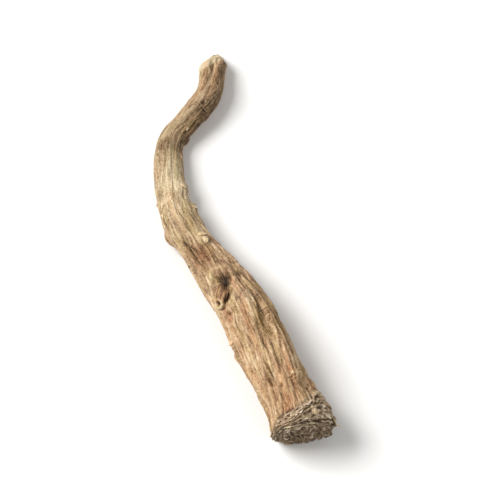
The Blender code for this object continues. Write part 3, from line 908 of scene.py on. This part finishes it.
draw = random.Random(BASE_SEED)
collars = []
for row in range(BASE_ROWS):
    for index in range(BASES_PER_ROW):
        turns = index + 0.5 * row + draw.uniform(-BASE_SCATTER, BASE_SCATTER)
        angle = 2.0 * math.pi * turns / BASES_PER_ROW
        place = BASE_ROW_START + BASE_ROW_STEP * row + draw.uniform(-BASE_ROW_SCATTER, BASE_ROW_SCATTER)
        lift, width, length = draw.uniform(*BASE_LIFT), draw.uniform(*BASE_WIDTH), draw.uniform(*BASE_LENGTH)
        ragged, crinkle = draw.uniform(*BASE_RAGGED), draw.uniform(*BASE_CRINKLE)
        seed = draw.uniform(*COLLAR_SEEDS)
        collars.append(side_base(place, angle, lift, width, length, ragged, crinkle, seed))
for ring, (share, count) in enumerate(FACE_BASE_RINGS):
    longest = FACE_BASE_LENGTH[1] + FACE_BASE_GROWTH * ring
    for index in range(count):
        turns = index + 0.5 * ring + draw.uniform(-BASE_SCATTER, BASE_SCATTER)
        angle = 2.0 * math.pi * turns / count
        lean, width = draw.uniform(*FACE_BASE_LEAN), draw.uniform(*FACE_BASE_WIDTH)
        length = draw.uniform(FACE_BASE_LENGTH[0], longest)
        share_here = share + draw.uniform(-FACE_BASE_SCATTER, FACE_BASE_SCATTER)
        ragged, crinkle = draw.uniform(*FACE_BASE_RAGGED), draw.uniform(*FACE_BASE_CRINKLE)
        seed = draw.uniform(*COLLAR_SEEDS)
        collars.append(face_base(share_here, angle, lean, width, length, ragged, crinkle, seed))
bm = joined(collars, BASE_CLEAR)
bmesh.ops.dissolve_degenerate(bm, dist=SAME_POINT, edges=bm.edges)
leaf_bases = new_piece("leaf_bases", bm)
leaf_bases.data.set_sharp_from_angle(angle=math.radians(60.0))

# Dry leaf stalk: papery, matt and fibrous, dark brown at the foot, painted shade under the collar that overlaps it,
# and pale along the torn edge, a painted highlight. Its veins are 0.4 mm apart, and the collars furthest from the
# crown's end are the least worn and the palest.
VEIN_WIDTH = 0.4
STALK_BLOTCH_SIZE = 2.2
dry_stalk, tree, shader = new_material("dry_leaf_stalk", roughness=0.8, specular=0.3)
grain = add_node(tree, "ShaderNodeAttribute", attribute_name="grain").outputs["Vector"]
tone = add_node(tree, "ShaderNodeAttribute", attribute_name="tone").outputs["Fac"]
crown = add_node(tree, "ShaderNodeAttribute", attribute_name="crown").outputs["Fac"]
stretched = add_node(tree, "ShaderNodeMapping", {"Vector": grain, "Scale": (1.0, 1.0, 0.2)}).outputs[0]
veins, blotches = (
    add_node(
        tree, "ShaderNodeTexNoise", {"Vector": along, "Scale": 1 / size, "Detail": detail, "Roughness": rough}
    ).outputs["Fac"]
    for along, size, detail, rough in ((stretched, VEIN_WIDTH, 3.0, 0.6), (grain, STALK_BLOTCH_SIZE, 2.0, 0.5))
)
weighted = add_node(tree, "ShaderNodeMath", {0: tone, 1: 0.55, 2: -0.56}, operation="MULTIPLY_ADD").outputs[0]
for part, share in ((veins, 0.6), (blotches, 1.0)):
    summed = {0: part, 1: share, 2: weighted}
    weighted = add_node(tree, "ShaderNodeMath", summed, operation="MULTIPLY_ADD").outputs[0]
old_colour = add_node(
    tree,
    "ShaderNodeValToRGB",
    {"Fac": weighted},
    stops=((0.3, "#281d14"), (0.45, "#483828"), (0.58, "#6b5843"), (0.72, "#97846b"), (0.9, "#d8c8ad")),
).outputs[0]
young_colour = add_node(
    tree,
    "ShaderNodeValToRGB",
    {"Fac": weighted},
    stops=((0.3, "#4a3a2a"), (0.45, "#7e664f"), (0.58, "#a98d71"), (0.72, "#c8ae92"), (0.9, "#e8d8c0")),
).outputs[0]
stalk_colour = add_node(
    tree, "ShaderNodeMix", {0: crown, 6: young_colour, 7: old_colour}, data_type="RGBA", blend_type="MIX"
).outputs[2]
bumped = add_node(tree, "ShaderNodeBump", {"Strength": 0.5, "Distance": 0.2 * MM, "Height": veins}).outputs[0]
tree.links.new(stalk_colour, shader.inputs["Base Color"])
tree.links.new(bumped, shader.inputs["Normal"])
leaf_bases.data.materials.append(dry_stalk)
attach(leaf_bases, "root")

# Side root stub: what is left of a thin side root, of the same wood and bark as the main one. It snapped off and
# dried flat in the pit that it grew from, with its root end sunk in the bark and its broken end drawn in to a
# hollow with a pale ring round it.
STUB_SIDES = 32
STUB_ROWS = 26
STUB_END_ROWS = 8
STUB_FROM = (40.3, -23.0)
STUB_TO = (35.9, -58.0)
STUB_LENGTH = 5.5
STUB_RADIUS = (1.75, 1.35)
STUB_SWELL = 0.35
STUB_FLAT = 0.62
STUB_HEIGHT = (-2.2, 0.1)
STUB_KNOBBLE = 0.2
STUB_RIDGES = 0.18
STUB_TORN = 0.25
STUB_END_ROUND = 1.1
STUB_END_HOLLOW = 0.8
STUB_RING = (5.15, 0.9)
STUB_RING_HEIGHT = 0.35
STUB_EYE_DEPTH = 0.7
stub_rings = STUB_ROWS + STUB_END_ROWS
bm = tube(STUB_SIDES, stub_rings)
grain_layer = bm.verts.layers.float_vector.new("grain")
stain_and_painted_light_layer = bm.verts.layers.float_vector.new("stain_and_painted_light")
tone_layer = bm.verts.layers.float.new("tone")
for vert in bm.verts:
    x, y, z = vert.co
    row = round((z + 0.5) * (stub_rings - 1))
    along = min(row / (STUB_ROWS - 1), 1.0)
    drawn_in = max(row - STUB_ROWS + 1, 0) / STUB_END_ROWS
    if vert.co.xy.length < 0.5 and z > 0.0:
        drawn_in = 1.0
    ridges = noise.noise(Vector((x * 2.0, y * 2.0, along * 1.6)))
    ridges += 0.5 * noise.noise(Vector((x * 4.0, y * 4.0, along * 4.0)))
    thick = blend(STUB_RADIUS[0], STUB_RADIUS[1], along) + STUB_SWELL * math.sin(math.pi * min(along, 0.9))
    thick += STUB_KNOBBLE * noise.noise(Vector((x, y, 2.5 * along)))
    thick = (thick + STUB_RIDGES * ridges) * (1.0 - drawn_in)
    near_end = smooth(0.8, 1.0, along)
    torn = STUB_KNOBBLE * noise.noise(Vector((x, y, 9.0))) * along * (1.0 - drawn_in)
    torn += STUB_TORN * noise.noise(Vector((x * 3.0, y * 3.0, 4.0))) * near_end * (1.0 - drawn_in)
    bulge = STUB_END_ROUND * math.sqrt(1.0 - (1.0 - drawn_in) ** 2)
    torn += STUB_END_HOLLOW * smooth(0.6, 0.9, drawn_in) - bulge
    place = blend(STUB_FROM[0], STUB_TO[0], along) + torn * math.cos(SCAR_SLANT) - x * thick * math.sin(SCAR_SLANT)
    angle = math.radians(blend(STUB_FROM[1], STUB_TO[1], along))
    angle += (x * thick * math.cos(SCAR_SLANT) + torn * math.sin(SCAR_SLANT)) / line_at(place)[1]
    height = blend(STUB_HEIGHT[0], STUB_HEIGHT[1], smooth(0.0, 0.7, along)) + STUB_FLAT * y * thick
    ring_reach = math.hypot(STUB_LENGTH * along + bulge - STUB_RING[0], x * thick) / STUB_RING[1]
    ring = bell(ring_reach - 1.0, 0.4) if y > 0.0 else 0.0
    eye = bell(ring_reach, 0.6) if y > 0.0 else 0.0
    vert.co = on_root(place, angle, height + STUB_RING_HEIGHT * ring - STUB_EYE_DEPTH * eye) * MM
    vert[grain_layer] = Vector((x * 1.6, y * 1.6, place))
    vert[tone_layer] = 0.5 + 0.9 * ridges
    bare = smooth(0.82, 1.0, along)
    hollow = smooth(0.5, 0.7, drawn_in)
    # Painted shade: the stub is darker at its root end, down in the pit, and along its right side, away from the key
    # lamp.
    shaded = 0.05 + 0.5 * smooth(0.2, -0.2, along - 0.15) + 0.55 * smooth(-0.1, 0.6, x)
    pale = 0.4 * bare * (1.0 - hollow) + 1.5 * ring
    dark = shaded * (1.0 - bare) * (1.0 - ring) + 0.8 * hollow + 1.2 * eye
    vert[stain_and_painted_light_layer] = Vector((pale, dark, 0.35 * (1.0 - bare)))
bmesh.ops.remove_doubles(bm, verts=bm.verts, dist=SAME_POINT)
side_root_stub = new_piece("side_root_stub", bm)
side_root_stub.data.materials.append(dried_bark)
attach(side_root_stub, "root")

# Bark slivers: thin flakes of the outer bark, the palest things on the root. They split from it as it dried, still
# hold at one end, sunk in the skin here, and curl up at the other. Each has a place, a direction in degrees, a
# length, a width, a lift and a turn from the grain.
SLIVERS = (
    (51.3, 22.5, 3.8, 0.9, 0.9, 28.0),
    (53.2, 27.0, 2.2, 1.9, 0.5, 5.0),
    (12.4, 20.0, 1.7, 0.7, 0.3, 62.0),
    (7.6, 64.0, 1.8, 1.0, 0.4, 40.0),
    (4.4, 33.0, 2.0, 1.2, 0.5, 10.0),
    (3.6, 80.0, 3.2, 2.4, 0.7, 30.0),
    (5.0, 66.0, 2.4, 1.8, 0.5, -20.0),
    (2.4, 27.0, 2.2, 1.5, 0.8, 50.0),
    (0.9, 74.0, 2.6, 0.7, 1.0, 0.0),
    (27.2, -88.0, 1.5, 0.8, 0.35, 0.0),
    (61.8, 72.0, 2.2, 1.0, 0.5, 20.0),
    (68.6, 44.0, 2.4, 1.0, 0.5, -10.0),
    (0.4, -27.0, 1.7, 0.8, 0.9, 60.0),
)
LOOSE_SLIVERS = 16
LOOSE_SLIVER_PLACES = (8.0, 95.0)
LOOSE_SLIVER_LENGTH = (1.2, 3.2)
LOOSE_SLIVER_LIFT = (0.1, 0.3)
LOOSE_SLIVER_TURN = 20.0
LOOSE_SLIVER_SLIM = 0.22
SLIVER_THICKNESS = 0.14
SLIVER_SINK = 0.25
SLIVER_SEED_STEP = 7.0
LOOSE_SLIVER_SEED = 200.0


def bark_sliver(place, degrees, length, width, lift, turn, seed):
    """One flake: pointed at both ends, sunk at its root end and curled up at the other."""
    plate = bmesh.new()
    bmesh.ops.create_grid(plate, x_segments=4, y_segments=10, size=1.0)
    bmesh.ops.solidify(plate, geom=plate.faces[:], thickness=0.1)
    grain_layer = plate.verts.layers.float_vector.new("grain")
    stain_and_painted_light_layer = plate.verts.layers.float_vector.new("stain_and_painted_light")
    tone_layer = plate.verts.layers.float.new("tone")
    middle = sum(vert.co.z for vert in plate.verts) / len(plate.verts)
    lean = math.radians(turn)
    for vert in plate.verts:
        x, y = vert.co.x, vert.co.y
        side = 0.5 if vert.co.z > middle else -0.5
        free = 0.5 * (1.0 - y)
        slim = (1.0 - abs(y) ** 2.5) * (1.0 + 0.6 * noise.noise(Vector((y * 2.0, x, seed)))) + 0.12
        across = 0.5 * x * width * slim
        along = 0.5 * y * length
        crumple = 0.3 * noise.noise(Vector((x * 1.2, y * 2.0, seed + 9.0)))
        height = blend(-SLIVER_SINK, lift, free**1.5) + crumple * lift + side * SLIVER_THICKNESS
        radius = line_at(place)[1]
        spot_place = place + along * math.cos(lean) - across * math.sin(lean)
        spot_angle = math.radians(degrees) + (across * math.cos(lean) + along * math.sin(lean)) / radius
        under = bark_height(spot_place, spot_angle, radius)[0]
        vert.co = on_root(spot_place, spot_angle, under + height) * MM
        vert[grain_layer] = Vector((across, seed, along))
        vert[tone_layer] = 0.7
        vert[stain_and_painted_light_layer] = Vector((1.4 + 0.3 * y, 0.0, 0.0))
    return plate


draw = random.Random(MARK_SEED + 1)
slivers = [bark_sliver(*spot, seed=SLIVER_SEED_STEP * index) for index, spot in enumerate(SLIVERS)]
for index in range(LOOSE_SLIVERS):
    place, degrees = draw.uniform(*LOOSE_SLIVER_PLACES), draw.uniform(*ALL_ROUND)
    length, lift = draw.uniform(*LOOSE_SLIVER_LENGTH), draw.uniform(*LOOSE_SLIVER_LIFT)
    turn = draw.uniform(-LOOSE_SLIVER_TURN, LOOSE_SLIVER_TURN)
    if scar_reach(place, math.radians(degrees), line_at(place)[1])[0] < SCAR_CLEAR:
        continue
    seed = LOOSE_SLIVER_SEED + SLIVER_SEED_STEP * index
    slivers.append(bark_sliver(place, degrees, length, LOOSE_SLIVER_SLIM * length, lift, turn, seed))
bark_slivers = new_piece("bark_slivers", joined(slivers, 0.0))
bark_slivers.data.materials.append(dried_bark)
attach(bark_slivers, "root")

# Table, light and camera: a sheet of matt white card under two soft square lamps, a strong one from the left and
# a weak one from the right, in a white room. A long lens looks down on it at the photograph's angle.
FLOOR_SIZE = 3.0
CAMERA_ELEVATION = math.radians(66.0)
CAMERA_DISTANCE = 2.0
CAMERA_LENS = 645.0
CAMERA_AIM = Vector((0.0, 0.0, 0.006))
KEY_LAMP = ((-0.68, 0.15, 0.8), 0.6, 13.0)
FILL_LAMP = ((0.6, -0.5, 0.7), 0.8, 2.2)
ROOM_LIGHT = 0.38
bm = bmesh.new()
bmesh.ops.create_grid(bm, x_segments=1, y_segments=1, size=0.5 * FLOOR_SIZE)
floor_mesh = bpy.data.meshes.new("floor")
bm.to_mesh(floor_mesh)
bm.free()
floor = bpy.data.objects.new("floor", floor_mesh)
bpy.context.scene.collection.objects.link(floor)
white_card, tree, shader = new_material("white_card", roughness=0.9)
shader.inputs["Base Color"].default_value = paint("#f4f3f1")
floor_mesh.materials.append(white_card)


def soft_lamp(name, place, size, power):
    """A square area lamp that faces the root."""
    lamp = bpy.data.lights.new(name, "AREA")
    lamp.size = size
    lamp.energy = power
    lamp_object = bpy.data.objects.new(name, lamp)
    lamp_object.location = place
    lamp_object.rotation_euler = Vector(place).to_track_quat("Z", "Y").to_euler()
    bpy.context.scene.collection.objects.link(lamp_object)


soft_lamp("key_lamp", *KEY_LAMP)
soft_lamp("fill_lamp", *FILL_LAMP)
world = bpy.data.worlds.new("studio")
world.use_nodes = True
world.node_tree.nodes["Background"].inputs["Color"].default_value = (1.0, 1.0, 1.0, 1.0)
world.node_tree.nodes["Background"].inputs["Strength"].default_value = ROOM_LIGHT
bpy.context.scene.world = world
bpy.context.scene.view_settings.view_transform = "Standard"

camera = bpy.data.cameras.new("camera")
camera.lens = CAMERA_LENS
camera_object = bpy.data.objects.new("camera", camera)
back = Vector((0.0, -math.cos(CAMERA_ELEVATION), math.sin(CAMERA_ELEVATION)))
camera_object.location = CAMERA_AIM + back * CAMERA_DISTANCE
camera_object.rotation_euler = back.to_track_quat("Z", "Y").to_euler()
bpy.context.scene.collection.objects.link(camera_object)
bpy.context.scene.camera = camera_object
